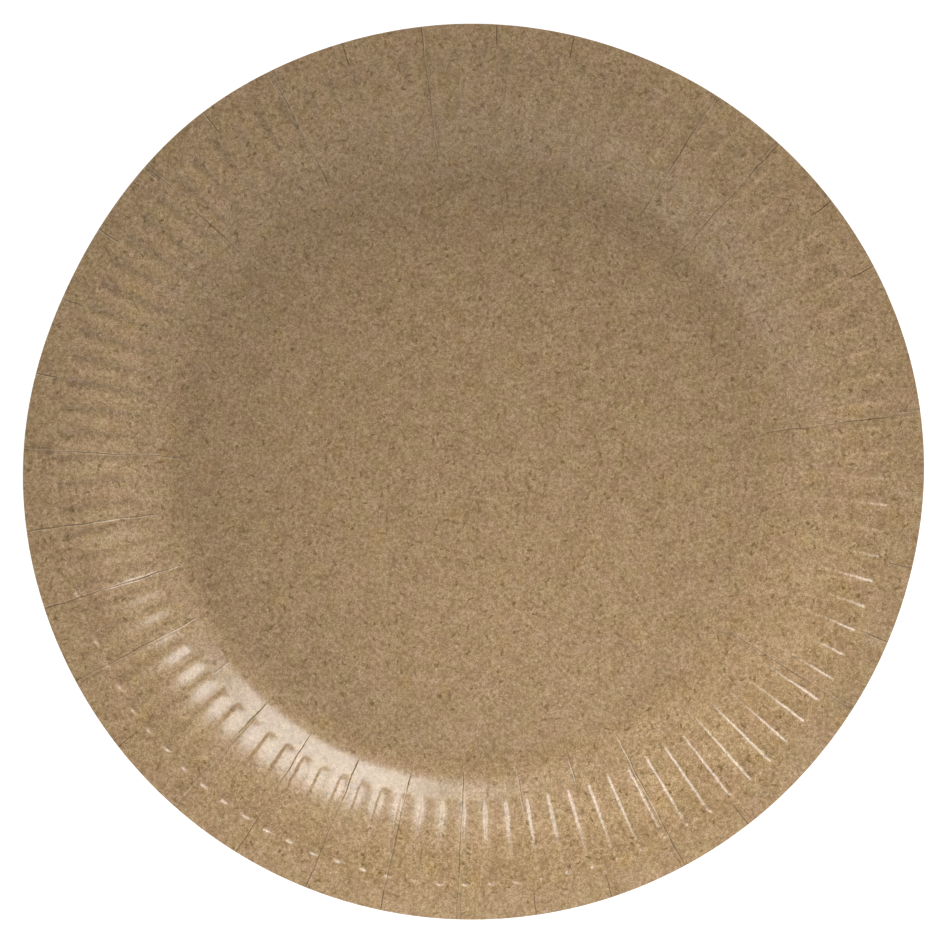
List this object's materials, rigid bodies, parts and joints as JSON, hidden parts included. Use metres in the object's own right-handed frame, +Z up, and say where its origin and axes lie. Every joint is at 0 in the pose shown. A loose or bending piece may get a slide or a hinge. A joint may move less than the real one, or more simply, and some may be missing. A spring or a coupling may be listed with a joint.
{
  "type": "paper plate",
  "caption": "Round disposable plate pressed from one sheet of brown card, with a flat floor, a fluted sloping wall, a flat rim and radial creases",
  "frame": {"origin": "on the plate's axis, on the underside of the flat floor", "axes": "+Z is up along the plate's axis, out of the open side; +X runs along one of the creases"},
  "size_m": [0.2298, 0.2298, 0.0141],
  "materials": {
    "card": "coated brown kraft board, satin on the upper face"
  },
  "bodies": {
    "root": {"plate": "card"}
  },
  "joints": []
}
